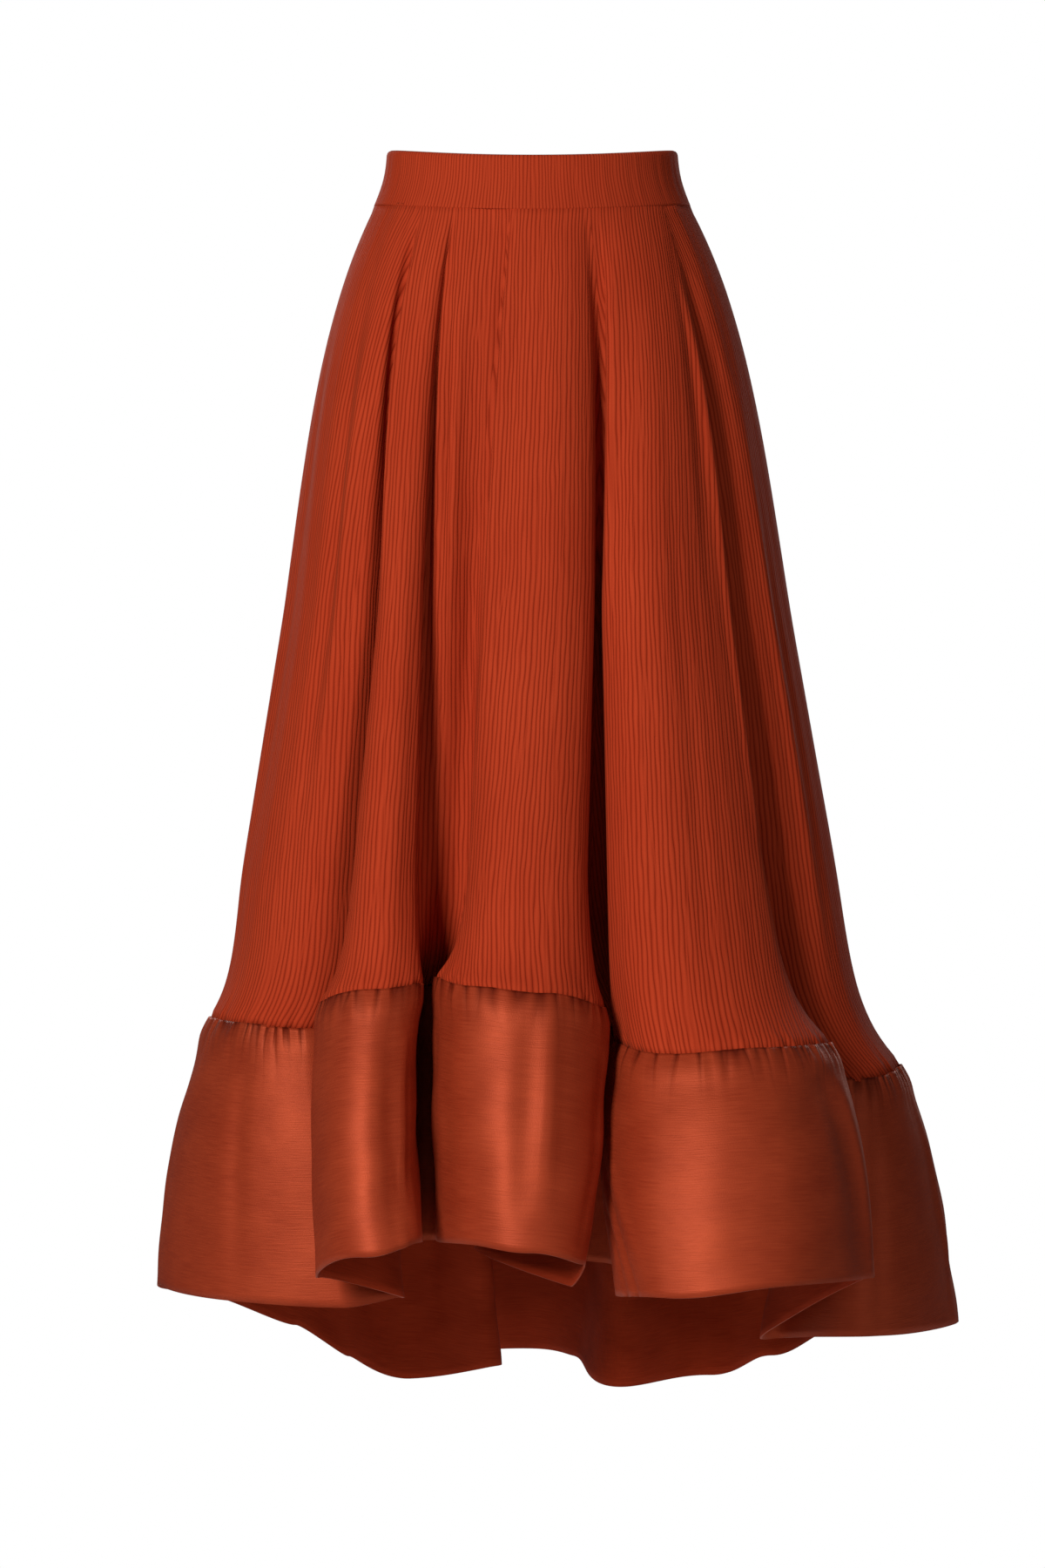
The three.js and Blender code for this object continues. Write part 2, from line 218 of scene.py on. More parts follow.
# How long the curve keeps its heading at a fold, as shares of the way to the next fold.
UNFOLDED_REACH = 0.35
LEAST_REACH = 0.05
MOST_REACH = 0.4


def turn_reach(chord, direction, roll, folded):
    length = np.linalg.norm(chord, axis=1)
    aside = np.abs(chord[:, 0] * direction[:, 1] - chord[:, 1] * direction[:, 0])
    rolled = np.sqrt(2 * aside * roll / 3) + LEAST_REACH * length
    tight = np.minimum(rolled, MOST_REACH * length)
    return mix(UNFOLDED_REACH * length, tight, folded)


def ring_of(points, folded):
    """One ring: points (columns x 3) and the way it heads (columns x 2)."""
    flat = points[:, :2]
    ahead = flat[next_fold]
    leaving = unit(ahead - flat)
    heading = unit(leaving + np.roll(leaving, 1, axis=0))
    chord = ahead - flat
    leave = turn_reach(chord, heading, ROLL, folded)[:, None]
    arrive = turn_reach(-chord, heading[next_fold], ROLL[next_fold], folded)[:, None]
    handles = [flat, flat + heading * leave, ahead - heading[next_fold] * arrive, ahead]
    ring, along = [], []
    for k, count in enumerate(COLUMNS):
        s = (np.arange(count) / count)[:, None]
        a, b, c, d = (handle[k] for handle in handles)
        place = (1 - s) ** 3 * a + 3 * s * (1 - s) ** 2 * b
        place = place + 3 * s ** 2 * (1 - s) * c + s ** 3 * d
        slope = (1 - s) ** 2 * (b - a) + 2 * s * (1 - s) * (c - b) + s ** 2 * (d - c)
        ease = s * s * (3 - 2 * s)
        height = mix(points[k, 2], points[next_fold[k], 2], ease)
        ring.append(np.column_stack([place, height]))
        along.append(unit(slope))
    return np.concatenate(ring), np.concatenate(along)


def rings_of(lines, folded):
    made = [ring_of(points, share) for points, share in zip(lines, folded)]
    return np.array([m[0] for m in made]), np.array([m[1] for m in made])


# %% [markdown]
# ### Small unevenness
# No gathered cloth is as even as a formula. A few waves of different lengths, added with fixed
# phases, make soft swells and puckers that are the same in every run.

# %% Uneven waves
def waves(along, lengths, seed):
    """A smooth uneven signal of about -1 to 1 along a distance, from waves of these lengths."""
    phase = np.random.default_rng(seed).uniform(0, 2 * math.pi, len(lengths))
    total = sum(np.sin(2 * math.pi * along / size + p) for size, p in zip(lengths, phase))
    return total / math.sqrt(len(lengths))


# %% Distances along the cloth
def distances(rings):
    """Distance round each ring from the left side seam, and distance down each column."""
    steps = np.linalg.norm(np.diff(rings, axis=1, append=rings[:, :1]), axis=2)
    around = np.concatenate([np.zeros((len(rings), 1)), np.cumsum(steps, axis=1)[:, :-1]], axis=1)
    falls = np.linalg.norm(np.diff(rings, axis=0), axis=2)
    down = np.concatenate([np.zeros((1, rings.shape[1])), np.cumsum(falls, axis=0)])
    return around, down, steps.sum(axis=1)


# %% Panel rings
# The rows lie closer together near both seams, where the cloth bends most.
PANEL_ROWS = 76
ROW_BUNCHING = 0.055
FOLDED_BY = 1 / 3
rows = np.linspace(0, 1, PANEL_ROWS)
panel_drops = np.clip(rows - ROW_BUNCHING * np.sin(2 * math.pi * rows), 0, 1)
panel_lines = smooth_down(panel_fold_lines(panel_drops))
panel_rings, panel_along = rings_of(panel_lines, np.minimum(1, panel_drops / FOLDED_BY))
panel_around, panel_down, panel_round = distances(panel_rings)
print("panel is", round(panel_round[-1]), "mm round at the band seam")

# %% Hem band rings
BAND_ROWS = 44
band_drops = np.linspace(0, 1, BAND_ROWS) ** 1.25
band_lines = band_fold_lines(band_drops)
band_rings, band_along = rings_of(band_lines, np.ones(BAND_ROWS))
band_around, band_down, band_round = distances(band_rings)
print("hem is", round(band_round[-1]), "mm round")


# %% [markdown]
# ### Moving the cloth in and out
# Swells, puckers and the slight overlap at each seam all push the cloth straight out or in, so
# one helper moves a ring across its own heading.

# %% Push cloth outwards
def pushed(rings, along, out):
    outward = np.stack([along[..., 1], -along[..., 0]], axis=-1)
    moved = rings.copy()
    moved[..., :2] += outward * out[..., None]
    return moved


# %% [markdown]
# ### Room to move
# Deep in a tuck the cloth has no room for a swell or a crease, and one put there would push the
# cloth through itself. So every push on the panel is scaled by two shares: how squeezed the
# cloth is, compared with the wide seam below, and how open the fold is, which is the straight
# distance across a few columns compared with the distance along the cloth.

# %% Shares of room
SMOOTH_COLUMNS = 5
FOLD_COLUMNS = 6


def round_average(values, width):
    """The average over this many columns to both sides, going round."""
    shifted = [np.roll(values, shift, axis=1) for shift in range(-width, width + 1)]
    return sum(shifted) / len(shifted)


def squeezed(rings):
    steps = np.linalg.norm(np.roll(rings, -1, axis=1) - rings, axis=2)
    return round_average(np.minimum(1, steps / steps[-1:]), SMOOTH_COLUMNS) ** 2.5


def fold_openness(rings):
    steps = np.linalg.norm(np.roll(rings, -1, axis=1) - rings, axis=2)
    reach = range(1 - FOLD_COLUMNS, FOLD_COLUMNS + 1)
    along_cloth = sum(np.roll(steps, shift, axis=1) for shift in reach)
    ahead = np.roll(rings, -FOLD_COLUMNS, axis=1)
    behind = np.roll(rings, FOLD_COLUMNS, axis=1)
    straight = np.linalg.norm(ahead - behind, axis=2)
    openness = np.clip((straight / along_cloth - 0.55) / 0.4, 0, 1)
    return round_average(openness, SMOOTH_COLUMNS)


panel_squeeze = squeezed(panel_rings)
panel_open = fold_openness(panel_rings)

# %% [markdown]
# ### Creases listed one by one
# Each crease runs down the cloth beside one fold line. The columns are: the fold, how far to the
# side of it the crease starts and how far down, how far to the side it ends and how far down,
# its half width, and its depth, which is below zero for a groove and above zero for a ridge.
# Sizes are millimetres of cloth.

# %% Panel creases
PANEL_CREASES = [
    ("C left", -7, 15, -9, 420, 6, -7.0),
    ("C left", 4, 30, 5, 460, 6, 3.5),
    ("CD tuck", 0, 45, 0, 380, 6, -6.0),
    ("D left", 4, 45, 5, 360, 5, 3.5),
    ("AB tuck", 0, 25, 0, 420, 5, -5.0),
    ("B left", 4, 15, 6, 330, 4, 3.0),
    ("BC ridge", 4, 40, 2, 420, 8, -3.0),
    ("BC ridge", -8, 60, -10, 350, 4, 3.0),
    ("BC ridge", 6, 70, 4, 330, 5, 3.5),
    ("BC ridge", -1, 80, -2, 300, 4, -2.5),
    ("D right", -5, 50, -6, 520, 5, 3.5),
    ("D right", 8, 60, 8, 560, 7, -5.0),
    ("D front right", 16, 30, 24, 330, 8, -2.5),
    ("A front left", 4, 80, 8, 460, 7, -3.0),
    ("A front left", 18, 90, 26, 520, 6, 2.5),
    ("A side", 12, 120, 22, 560, 9, -2.5),
    ("left side seam", 10, 60, 14, 480, 8, -2.0),
    ("E front", -12, 110, -14, 600, 7, -3.0),
    ("E front", 10, 140, 16, 640, 8, 3.0),
    ("E side", 14, 80, 24, 520, 9, -2.5),
    ("back right lobe", -16, 70, -20, 540, 8, -3.0),
    ("back right lobe", 14, 90, 18, 600, 7, 2.5),
    ("back right groove", 0, 30, 0, 420, 6, -5.0),
    ("back inner fold", 0, 40, 0, 460, 6, -6.0),
    ("centre back", -14, 60, -22, 560, 8, -3.0),
    ("centre back", 18, 100, 26, 620, 7, 2.5),
    ("back outer fold", 0, 35, 0, 430, 6, -6.0),
    ("back left panel", 8, 80, 14, 580, 8, -3.0),
    ("back left lobe", 10, 70, 20, 560, 8, 2.5),
]
# %% Satin creases
BAND_CREASES = [
    ("A side", -20, 60, -8, 225, 9, 2.0),
    ("A front left", 6, 30, 14, 215, 10, -2.0),
    ("B right", -26, 20, -20, 235, 8, -2.0),
    ("B right", -9, 40, -12, 232, 4, 2.2),
    ("B right", -16, 130, -8, 220, 3, -1.8),
    ("C left", 20, 15, 26, 190, 10, 1.8),
    ("C ridge", 2, 0, 8, 180, 7, 3.0),
    ("C ridge", -14, 10, -10, 190, 9, -2.2),
    ("C right", -10, 30, -14, 205, 5, -1.6),
    ("D left", 6, 95, 52, 205, 5, -2.2),
    ("D left", 2, 130, 38, 222, 4, -2.0),
    ("D left", 14, 70, 66, 185, 6, 1.6),
    ("D left", 30, 150, 60, 228, 4, -1.5),
    ("D right", -20, 25, -20, 225, 8, 3.0),
    ("D right", -46, 20, -42, 215, 14, -2.6),
    ("E front", 12, 30, 20, 230, 9, -2.2),
    ("E side", -16, 20, -12, 225, 7, 2.6),
    ("E side", 22, 40, 30, 220, 10, -2.0),
    ("back right lobe", -12, 25, -4, 210, 8, 2.4),
    ("back right lobe", 26, 60, 40, 215, 7, -2.0),
    ("back right panel", 4, 30, 10, 215, 8, -2.0),
    ("centre back", -32, 30, -22, 200, 8, 2.4),
    ("centre back", 24, 50, 36, 210, 9, -2.2),
    ("back left panel", 10, 60, 34, 205, 6, -2.0),
    ("back left panel", -30, 20, -26, 220, 9, 2.2),
    ("back left lobe", 8, 35, 16, 220, 9, -2.0),
]


def creases(rows, around, down, round_size):
    """How far each point moves out for a table of creases."""
    out = np.zeros(around.shape)
    for fold, start, start_down, end, end_down, half_width, depth in rows:
        column = START[NAMES.index(fold)]
        share = (down - start_down) / (end_down - start_down)
        aside = around - around[:, column:column + 1] - mix(start, end, share)
        whole = round_size[:, None]
        aside = (aside + whole / 2) % whole - whole / 2
        inside = np.clip(share, 0, 1)
        fade = np.sin(math.pi * inside ** 0.8) ** 0.7
        out += depth * fade * np.exp(-((aside / half_width) ** 2))
    return out


# %% Panel unevenness
seam_place = panel_around[-1][None, :]
swell_size = 1.3 * np.sin(math.pi * np.clip(panel_drops, 0, 1))[:, None] ** 0.7
sway = 9 * np.sin(panel_down / 130 + 1.0)
panel_swell = swell_size * waves(seam_place + sway, (41, 57, 86, 29), 3)
top_gather = 0.7 * np.exp(-panel_down / 30) * waves(seam_place, (13, 19, 31), 5)
low_gather = 0.9 * np.exp(-(panel_down[-1:] - panel_down) / 14) * waves(seam_place, (12, 17, 26), 7)
tuck_under = -1.1 * np.exp(-(panel_down[-1:] - panel_down) / 3)
panel_creases = creases(PANEL_CREASES, panel_around, panel_down, panel_round)
uneven = (panel_swell + top_gather + low_gather) * panel_squeeze
panel_out = (uneven + panel_creases) * panel_open + tuck_under
panel_cloth = pushed(panel_rings, panel_along, panel_out)
SEAM_OVERLAP = 2.0
panel_cloth[-1, :, 2] -= SEAM_OVERLAP
panel_cloth[0, :, 2] += SEAM_OVERLAP

# %% Satin unevenness
band_place = band_around[0][None, :]


def troughs(place, down, total, spacing, width, length, depth, seed):
    """Short creases that start at a seam, at uneven places, widths, lengths and depths."""
    pick = np.random.default_rng(seed)
    out = np.zeros(np.broadcast(place, down).shape)
    at = 0.0
    while at < total:
        at += pick.uniform(*spacing)
        wide, long, deep = pick.uniform(*width), pick.uniform(*length), pick.uniform(*depth)
        near = np.abs(place[0] - at) < 4 * wide
        across = np.exp(-((place[:, near] - at) / wide) ** 2)
        out[:, near] -= deep * across * np.exp(-(down[:, near] / long) ** 1.3)
    return out


PUCKERS = {"spacing": (6, 19), "width": (1.9, 4.2), "length": (7, 20), "depth": (1.0, 3.4)}
puckers = troughs(band_place, band_down, band_round[0], **PUCKERS, seed=11)
puff = 1.8 * np.exp(-((band_down - 14) / 12) ** 2)
dents = 1.1 * waves(band_place + 0.35 * band_down, (120, 75, 190), 19)
dents = dents * waves(band_down + 0.2 * band_place, (160, 95), 23) * np.clip(band_down / 40, 0, 1)
band_creases = creases(BAND_CREASES, band_around, band_down, band_round)
band_cloth = pushed(band_rings, band_along, 0.5 + puckers + puff + dents + band_creases)


# %% [markdown]
# ## Sheets of cloth
# A sheet is a grid of points, so it is made by mesh code rather than from a primitive. It gets a
# cloth map: one way round the skirt, the other way down, both in metres of real cloth, so that
# ribs and threads follow the folds. Solidify then gives it thickness and closes its edges.

# %% Make a sheet from rings
def sheet_object(name, rings, across, cloth_v, thickness, materials):
    """`across` holds the cloth map's u at the left and the right edge of each strip of faces."""
    row_count, column_count = rings.shape[:2]
    index = np.arange(row_count * column_count).reshape(row_count, column_count)
    corners = [index[:-1, :-1], index[1:, :-1], index[1:, 1:], index[:-1, 1:]]
    faces = np.stack(corners, axis=-1).reshape(-1, 4)
    mesh = bpy.data.meshes.new(name)
    mesh.from_pydata((rings.reshape(-1, 3) * MM).tolist(), [], faces.tolist())
    layer = mesh.uv_layers.new(name="cloth")
    left, right = across
    u = np.stack([left[:-1], left[1:], right[1:], right[:-1]], axis=-1)
    v = cloth_v.ravel()[faces]
    pairs = np.stack([u.ravel(), v.ravel()], axis=-1) * MM
    layer.data.foreach_set("uv", pairs.ravel())
    mesh.polygons.foreach_set("use_smooth", [True] * len(faces))
    for material in materials:
        mesh.materials.append(material)
    sheet = bpy.data.objects.new(name, mesh)
    bpy.context.scene.collection.objects.link(sheet)
    bpy.ops.object.select_all(action="DESELECT")
    bpy.context.view_layer.objects.active = sheet
    sheet.select_set(True)
    solidify = sheet.modifiers.new("cloth thickness", "SOLIDIFY")
    solidify.thickness = thickness * MM
    solidify.offset = 0
    solidify.material_offset = len(materials) - 1
    bpy.ops.object.modifier_apply(modifier=solidify.name)
    print(name, len(sheet.data.polygons), "faces")
    return sheet


def column_range(first, last):
    """The columns from one fold to another, going round, the last one included."""
    start, end = START[NAMES.index(first)], START[NAMES.index(last)]
    if end <= start:
        end += START[-1]
    return np.arange(start, end + 1)


def edges_of(cloth_u):
    """The left and right edges of the strips between neighbouring columns."""
    return cloth_u[:, :-1], cloth_u[:, 1:]


HALVES = {
    "front": column_range("left side seam", "right side seam"),
    "back": column_range("right side seam", "left side seam"),
}

# %% [markdown]
# ## Shader maths as expressions
# Node trees are easier to read as sums. This small class wraps a socket, and an expression on
# values adds the Math nodes that it needs.

# %% The socket class
class Value:
    def __init__(self, tree, socket):
        self.tree = tree
        self.socket = socket

    def node(self, kind, settings=None, out=0, **inputs):
        made = self.tree.nodes.new(kind)
        for key, value in (settings or {}).items():
            setattr(made, key, value)
        for key, value in inputs.items():
            place = int(key[1:]) if key[0] == "i" and key[1:].isdigit() else key.replace("_", " ")
            plug(self.tree, made.inputs[place], value)
        return Value(self.tree, made.outputs[out])

    def math(self, operation, *others):
        inputs = {f"i{n}": other for n, other in enumerate((self, *others))}
        return self.node("ShaderNodeMath", {"operation": operation}, **inputs)

    def __add__(self, other):
        return self.math("ADD", other)

    __radd__ = __add__

    def __sub__(self, other):
        return self.math("SUBTRACT", other)

    def __rsub__(self, other):
        return self.node("ShaderNodeMath", {"operation": "SUBTRACT"}, i0=other, i1=self)

    def __mul__(self, other):
        return self.math("MULTIPLY", other)

    __rmul__ = __mul__

    def __pow__(self, other):
        return self.math("POWER", other)

    def clamped(self):
        return self.math("MAXIMUM", 0.0).math("MINIMUM", 1.0)


def plug(tree, socket, value):
    if isinstance(value, Value):
        tree.links.new(value.socket, socket)
    else:
        socket.default_value = value


def between(low, high, share):
    """A colour part way from one colour to another."""
    settings = {"data_type": "RGBA"}
    made = share.node("ShaderNodeMix", settings, out=2)
    mixer = made.socket.node
    plug(share.tree, mixer.inputs[0], share)
    for place, colour in ((6, low), (7, high)):
        plug(share.tree, mixer.inputs[place], colour if isinstance(colour, Value) else (*colour, 1))
    return made


def noise(at, x, y, detail=2.0, rough=0.5):
    """Noise on the cloth map, with x and y waves to the metre."""
    spot = at.node("ShaderNodeCombineXYZ", i0=at.u * x, i1=at.v * y)
    inputs = {"Vector": spot, "Scale": 1.0, "Detail": detail, "Roughness": rough}
    return spot.node("ShaderNodeTexNoise", {"noise_dimensions": "2D"}, **inputs)


# %% Start a cloth material
def new_cloth(name, roughness, sheen, specular, gloss_tint=(1.0, 0.5, 0.3, 1)):
    material = bpy.data.materials.new(name)
    material.use_nodes = True
    tree = material.node_tree
    shader = tree.nodes["Principled BSDF"]
    shader.inputs["Roughness"].default_value = roughness
    shader.inputs["Sheen Weight"].default_value = sheen
    shader.inputs["Sheen Roughness"].default_value = 0.45
    shader.inputs["Sheen Tint"].default_value = (1.0, 0.35, 0.15, 1)
    shader.inputs["Specular IOR Level"].default_value = specular
    shader.inputs["Specular Tint"].default_value = gloss_tint
    uv_map = tree.nodes.new("ShaderNodeUVMap")
    uv_map.uv_map = "cloth"
    split = tree.nodes.new("ShaderNodeSeparateXYZ")
    tree.links.new(uv_map.outputs[0], split.inputs[0])
    at = Value(tree, split.outputs[0])
    at.u = Value(tree, split.outputs[0])
    at.v = Value(tree, split.outputs[1])
    return material, shader, at


def add_bump(shader, height, distance, strength=1.0):
    bump = height.node("ShaderNodeBump", Height=height, Distance=distance, Strength=strength)
    height.tree.links.new(bump.socket, shader.inputs["Normal"])


# %% [markdown]
# ## The crinkled crepe
# The panel and the waistband are one cloth, set in hundreds of fine ribs that wander, split and
# join. Each rib is a round ridge with a thin dark valley. Two rib patterns that fade into each
# other make the forks, and the valleys are also darker in colour, because they shade themselves.

# %% Rib pattern
RIB_PITCH = 4.0 * MM


def ribs(at, pitch):
    """Rib height from 0 in a valley to 1 on a crest."""
    wander = (noise(at, 8, 3, 1) - 0.5) * 1.6 + (noise(at, 120, 26, 1) - 0.5) * 0.7
    place = at.u * (1 / pitch) + wander
    first = (place * math.pi).math("SINE").math("ABSOLUTE")
    second = ((place * 0.86 + 0.4) * math.pi).math("SINE").math("ABSOLUTE")
    choice = ((noise(at, 45, 5, 0) - 0.5) * 12 + 0.5).math("MINIMUM", 1.0).math("MAXIMUM", 0.0)
    return (first * choice + second * (1 - choice)) ** 0.6


# %% Crepe material
# The first colour is painted shade, for the valleys between the ribs.
CREPE_VALLEY_SHADE = (0.235, 0.0165, 0.0045)
CREPE_MID = (0.390, 0.0350, 0.0110)
CREPE_LIT = (0.470, 0.0500, 0.0160)


def crepe(name, pitch, depth):
    material, shader, at = new_cloth(name, 0.8, 0.05, 0.1)
    rib = ribs(at, pitch)
    cloud = noise(at, 14, 9, 3, 0.6)
    weave = noise(at, 1500, 900, 1)
    body = between(CREPE_MID, CREPE_LIT, cloud)
    # Painted shade: the rib valleys take the darker colour and the crests the body colour; the weave adds a
    # little random tone.
    shade = (rib * 1.25 - 0.25 + (weave - 0.5) * 0.25).clamped()
    colour = between(CREPE_VALLEY_SHADE, body, shade)
    plug(at.tree, shader.inputs["Base Color"], colour)
    add_bump(shader, rib + (weave - 0.5) * 0.12, depth)
    return material


panel_crepe = crepe("crinkled crepe panel", RIB_PITCH, 0.42 * MM)
waistband_crepe = crepe("crinkled crepe waistband", 2.6 * MM, 0.2 * MM)

# %% [markdown]
# ## The satin
# The hem band is a stiff satin with a soft lustre and a slight crosswise slub, which is a fine
# bump stretched round the skirt. Short creases fade out below the gathered seam, and their colour
# is darkened with painted shade. The wrong side of the cloth is matte and darker.

# %% Satin materials
SATIN_DARK = (0.290, 0.0290, 0.0090)
SATIN_LIT = (0.390, 0.0480, 0.0150)
# The next colour is painted shade, for the short creases below the gathered seam.
SATIN_CREASE_SHADE = (0.100, 0.0060, 0.0020)
WRONG_SIDE_DARK = (0.27, 0.022, 0.006)
WRONG_SIDE_LIT = (0.40, 0.040, 0.012)
CREASE_LENGTH = 11 * MM


def satin(name, dark, lit, roughness, specular, lustre):
    material, shader, at = new_cloth(name, roughness, 0.0, specular)
    shader.inputs["Metallic"].default_value = lustre
    slub = noise(at, 40, 1100, 2, 0.6)
    threads = noise(at, 1600, 600, 1)
    rumple = noise(at, 18, 30, 2, 0.5)
    crease = ((noise(at, 48, 8, 1) - 0.5).math("ABSOLUTE") * 8).math("MINIMUM", 1.0)
    near_seam = (at.v * (-1 / CREASE_LENGTH)).math("EXPONENT")
    gather = 1 - (1 - crease) * near_seam
    tone = (rumple + (slub - 0.5) * 1.3).clamped()
    # Painted shade: the short creases below the seam are darkened in colour, fading out down the band.
    colour = between(SATIN_CREASE_SHADE, between(dark, lit, tone), gather)
    plug(at.tree, shader.inputs["Base Color"], colour)
    plug(at.tree, shader.inputs["Roughness"], roughness + (slub - 0.5) * 0.14)
    add_bump(shader, rumple * 0.45 + slub * 0.10 + threads * 0.05 + gather * 0.9, 1.6 * MM)
    return material


satin_face = satin("hem satin face", SATIN_DARK, SATIN_LIT, 0.54, 0.5, 0.30)
satin_back = satin("hem satin wrong side", WRONG_SIDE_DARK, WRONG_SIDE_LIT, 0.8, 0.15, 0.0)


# %% [markdown]
# ## The panel and the hem band
# Each tier is cut in a front and a back that meet at the side seams. The ribs hang straight down
# the crowns of the folds, closer together at the top where the cloth is gathered.

# %% Rib runs
# Each run of ribs hangs straight from the crown of one fold and slips away into the grooves on
# both sides of it: first groove, crown, last groove.
RIB_RUNS = [
    ("back left groove", "A side", "AB tuck"),
    ("AB tuck", "B front", "BC left groove"),
    ("BC left groove", "BC ridge", "BC right groove"),
    ("BC right groove", "C ridge", "CD tuck"),
    ("CD tuck", "D front left", "DE tuck"),
    ("DE tuck", "E side", "back right groove"),
    ("back right groove", "back right panel", "back inner fold"),
    ("back inner fold", "centre back", "back outer fold"),
    ("back outer fold", "back left panel", "back left groove"),
]
RUN_APART = 370.0
CLOTH_THICKNESS = {"waistband": 2.2, "panel": 1.3, "hem_band": 1.6}
TOP_CRUSH = 1.42


def rib_map():
    """Cloth map across each strip of the panel, and the run's own zero at the fold's crown."""
    total = START[-1]
    left = np.zeros(panel_around.shape)
    right = np.zeros(panel_around.shape)
    crush = mix(TOP_CRUSH, 1.0, panel_drops)
    for number, (first, crown, last) in enumerate(RIB_RUNS):
        columns = column_range(first, last)
        middle = START[NAMES.index(crown)]
        if middle < columns[0]:
            middle += total
        reach = panel_around[:, columns % total] + panel_round[:, None] * (columns // total)
        zero = panel_around[:, middle % total] + panel_round * (middle // total)
        place = (reach - zero[:, None]) * crush[:, None] + RUN_APART * number
        left[:, columns[:-1] % total] = place[:, :-1]
        right[:, columns[:-1] % total] = place[:, 1:]
    return left, right


rib_left, rib_right = rib_map()

# %% Panel sheets
pieces = {}
for half, columns in HALVES.items():
    wrapped = columns % START[-1]
    across = rib_left[:, wrapped[:-1]], rib_right[:, wrapped[:-1]]
    pieces[f"panel_{half}"] = sheet_object(
        f"crinkled_panel_{half}", panel_cloth[:, wrapped], across, panel_down[:, wrapped],
        CLOTH_THICKNESS["panel"], [panel_crepe])

# %% Hem band sheets
band_u = np.repeat(band_around[-1][None, :], BAND_ROWS, axis=0)
for half, columns in HALVES.items():
    wrapped = columns % START[-1]
    turn = (columns // START[-1])[None, :] * band_round[-1]
    pieces[f"hem_band_{half}"] = sheet_object(
        f"satin_hem_band_{half}", band_cloth[:, wrapped], edges_of(band_u[:, wrapped] + turn),
        band_down[:, wrapped], CLOTH_THICKNESS["hem_band"], [satin_face, satin_back])

# %% [markdown]
# ## The waistband
# A flat strip on a slight waist curve: wider at its bottom edge, a little drawn in half way, and
# lower at the centre front. Its top edge is turned over, so it is rounded.

# %% Waistband sheets
# Levels from the top edge to the bottom edge, closest together where the top edge turns over.
BAND_LEVELS = [0, 0.012, 0.03, 0.06, 0.1, 0.2, 0.3, 0.4, 0.5, 0.6, 0.7, 0.8, 0.9, 0.96, 1.0]
BAND_COLUMNS = 150
BAND_RADIUS = 122.0
EDGE_ROUND = 3.0


def waistband_rings(angles):
    rings = []
    for level in BAND_LEVELS:
        pinch = WAISTBAND_PINCH * math.sin(math.pi * level)
        from_top = level * 2 * WAISTBAND_HALF_HEIGHT
        tucked = max(0.0, EDGE_ROUND - from_top)
        edge = EDGE_ROUND - math.sqrt(EDGE_ROUND ** 2 - tucked ** 2)
        half = [mix(WAIST_TOP[i], WAIST_SEAM[i], level) - pinch - edge * 0.7 for i in (0, 1)]
        flat = oval(half, angles)
        ripple = 0.25 * waves(angles * 120, (7, 11, 17), 29)[:, None]
        flat = flat * (1 + (0.6 + ripple * math.sin(math.pi * level) ** 0.5) / 120)
        height = WAISTBAND_HALF_HEIGHT * (1 - 2 * level) - waist_dip(angles)
        rings.append(np.column_stack([flat, height]))
    return np.array(rings)


SEAM_ANGLES = {"front": (172.0, 369.0), "back": (369.0, 532.0)}
for half, (start, end) in SEAM_ANGLES.items():
    angles = np.radians(np.linspace(start, end, BAND_COLUMNS))
    rings = waistband_rings(angles)
    around, down, _ = distances(rings)
    cloth_u = np.repeat(angles[None, :] * BAND_RADIUS, len(rings), axis=0)
    pieces[f"waistband_{half}"] = sheet_object(
        f"waistband_{half}_cloth", rings, edges_of(cloth_u), down,
        CLOTH_THICKNESS["waistband"], [waistband_crepe])

# %% [markdown]
# ## What stands for what
# Each sheet rides on the one body and takes the place of its plain wall. The panels are cut
# with a straight taper from the waist through the calf, and their crinkles open out to reach the
# wide seam below. The hem bands are shaped strips.

for node, piece in pieces.items():
    tier, half = node.rsplit("_", 1)
    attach(piece, "root")
    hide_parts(node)

# %% [markdown]
# ## The studio
# A pale floor, a soft light high on the left, a weak one on the right, two behind for the far
# sides, white all round, and a level camera half way up the skirt.

# %% Floor
FLOOR_Z = -1.38
FLOOR_RADIUS = 1.2
bpy.ops.mesh.primitive_circle_add(vertices=96, radius=FLOOR_RADIUS, fill_type="NGON",
                                  location=(0, 0, FLOOR_Z))
floor = bpy.context.object
floor.name = "floor"
pale = bpy.data.materials.new("pale floor")
pale.use_nodes = True
pale.node_tree.nodes["Principled BSDF"].inputs["Base Color"].default_value = (0.86, 0.86, 0.86, 1)
pale.node_tree.nodes["Principled BSDF"].inputs["Roughness"].default_value = 0.9
floor.data.materials.append(pale)

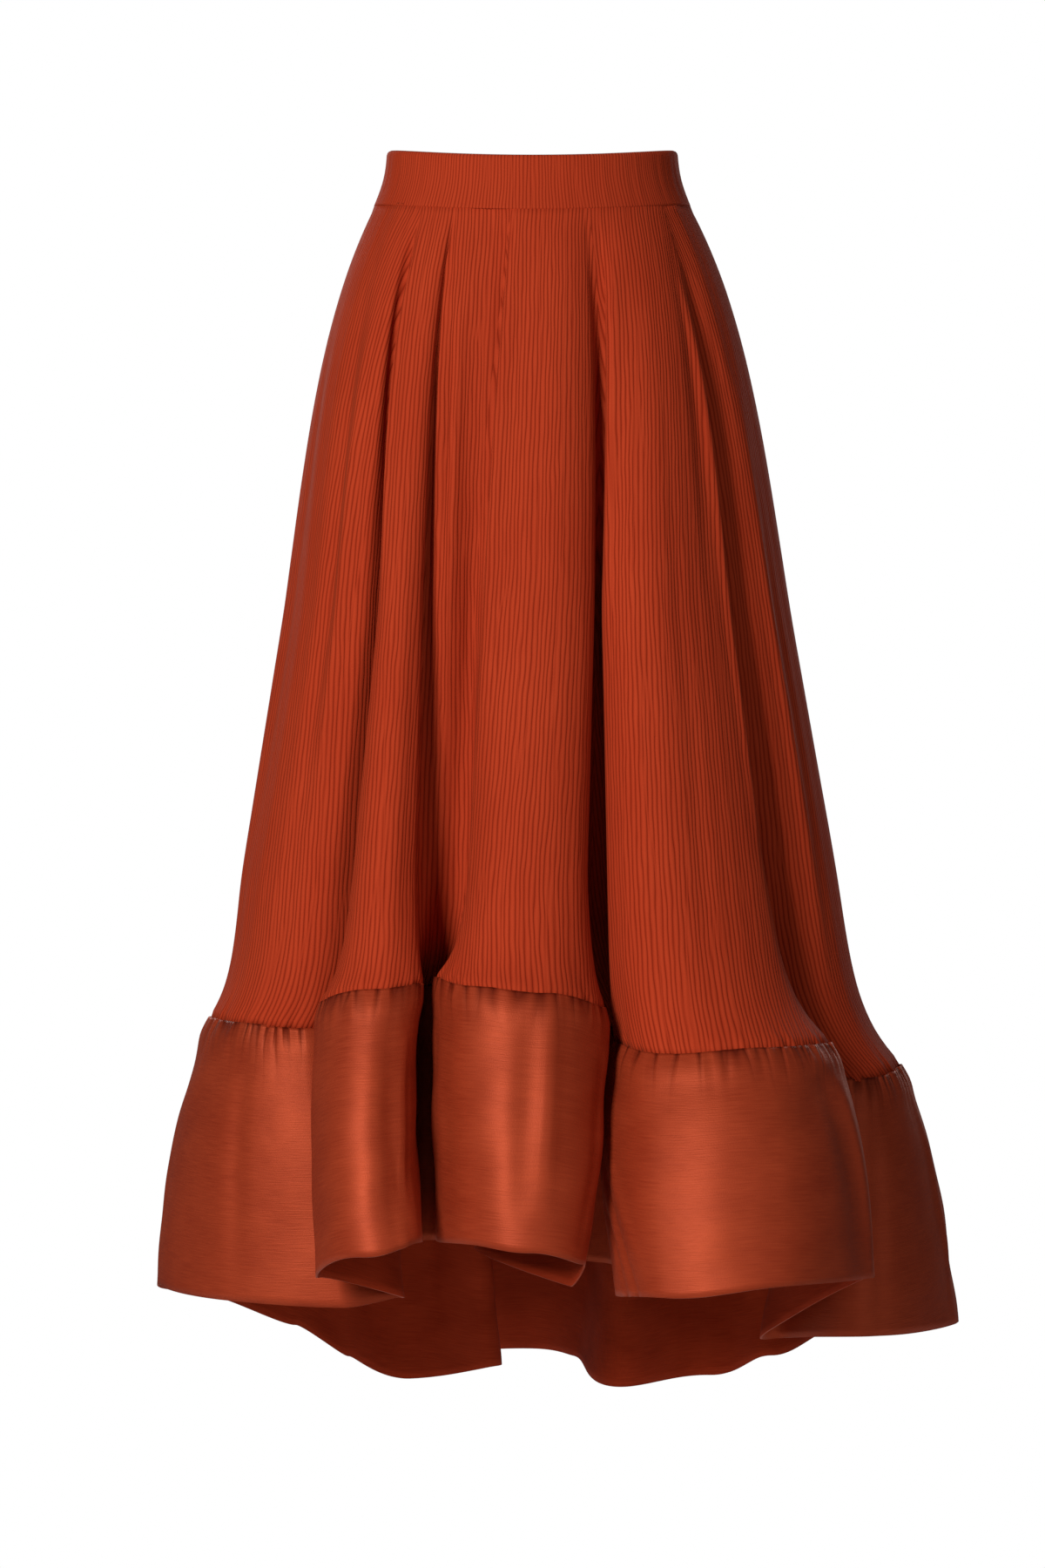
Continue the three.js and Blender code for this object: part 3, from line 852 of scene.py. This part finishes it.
# %% Lights
def softbox(name, place, aim, size, power):
    light = bpy.data.lights.new(name, "AREA")
    light.shape = "RECTANGLE"
    light.size, light.size_y = size
    light.energy = power
    lamp = bpy.data.objects.new(name, light)
    bpy.context.scene.collection.objects.link(lamp)
    lamp.location = place
    way = Vector(aim) - Vector(place)
    lamp.rotation_euler = way.to_track_quat("-Z", "Y").to_euler()


softbox("key", (-1.4, -2.7, 0.4), (0, 0, -0.7), (0.8, 1.0), 88)
softbox("fill", (1.7, -2.8, -0.1), (0, 0, -0.6), (0.5, 1.8), 12)
softbox("back left", (-1.3, 3.2, 0.9), (0, 0, -0.5), (1.0, 1.4), 32)
softbox("back right", (1.6, 3.0, 0.4), (0, 0, -0.6), (0.9, 1.4), 18)

# %% White all round
# What the camera sees past the skirt is plain white. Only a dim part of it lights the cloth, so
# that the folds keep their shade.
AMBIENT = 0.09
world = bpy.data.worlds.new("studio")
world.use_nodes = True
sky = world.node_tree
seen = sky.nodes.new("ShaderNodeBackground")
seen.inputs["Strength"].default_value = 1.0
seen.inputs["Color"].default_value = (1, 1, 1, 1)
lit = sky.nodes["Background"]
lit.inputs["Color"].default_value = (1, 1, 1, 1)
lit.inputs["Strength"].default_value = AMBIENT
ray = sky.nodes.new("ShaderNodeLightPath")
either = sky.nodes.new("ShaderNodeMixShader")
sky.links.new(ray.outputs["Is Camera Ray"], either.inputs[0])
sky.links.new(lit.outputs[0], either.inputs[1])
sky.links.new(seen.outputs[0], either.inputs[2])
sky.links.new(either.outputs[0], sky.nodes["World Output"].inputs["Surface"])
bpy.context.scene.world = world
bpy.context.scene.view_settings.view_transform = "Standard"

# %% Camera
CAMERA_PLACE = (-0.008, -3.4, -0.495)
VIEW_HEIGHT = 1.285
SENSOR = 36.0
camera_data = bpy.data.cameras.new("camera")
camera_data.sensor_width = SENSOR
camera_data.lens = SENSOR * -CAMERA_PLACE[1] / VIEW_HEIGHT
camera = bpy.data.objects.new("camera", camera_data)
camera.location = CAMERA_PLACE
camera.rotation_euler = (math.pi / 2, 0, 0)
bpy.context.scene.collection.objects.link(camera)
bpy.context.scene.camera = camera
